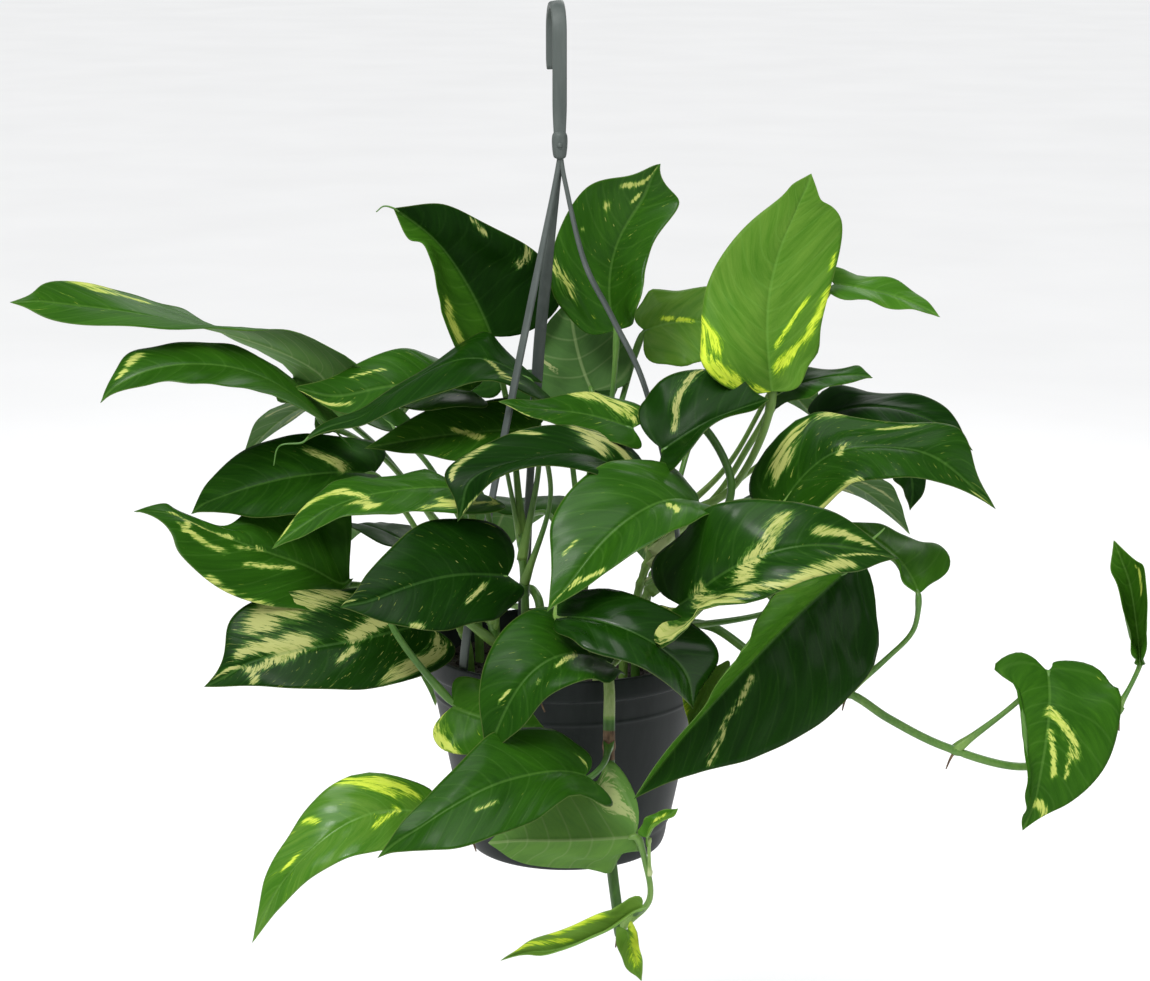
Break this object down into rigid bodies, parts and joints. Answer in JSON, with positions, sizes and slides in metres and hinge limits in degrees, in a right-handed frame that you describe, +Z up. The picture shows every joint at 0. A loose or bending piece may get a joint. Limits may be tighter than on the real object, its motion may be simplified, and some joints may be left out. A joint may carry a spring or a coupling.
{
  "type": "potted pothos in a hanging pot",
  "caption": "Bushy trailing houseplant with heart-shaped variegated leaves, rooted in soil in a round plastic pot with a clip-on hanger that ends in a hook.",
  "frame": {"origin": "the middle of the pot's flat base", "axes": "+Z up along the pot's axis, -Y towards the front, +X towards the plant's long trailing side"},
  "size_m": [0.5902, 0.3655, 0.482],
  "materials": {
    "pot_plastic": "matte anthracite plastic, injection moulded",
    "hanger_plastic": "satin dark grey plastic, injection moulded",
    "soil": "moist dark potting soil, loose crumbs",
    "leaf": "waxy living leaf, deep green marbled with cream and yellow"
  },
  "bodies": {
    "root": {"pot": "pot_plastic", "hanger": "hanger_plastic", "soil": "soil", "stem_far_left": "leaf", "stem_low_left": "leaf", "stem_front_left": "leaf", "stem_upper_left": "leaf", "stem_middle": "leaf", "stem_centre": "leaf", "stem_right_tall": "leaf", "stem_right": "leaf", "stem_front_right": "leaf", "stem_trailing_right": "leaf", "stem_hanging_front": "leaf", "stem_low_front_left": "leaf", "stem_curled_front": "leaf", "stem_back_left": "leaf", "stem_back": "leaf", "stem_back_right": "leaf", "stem_trailing_back": "leaf"}
  },
  "joints": []
}
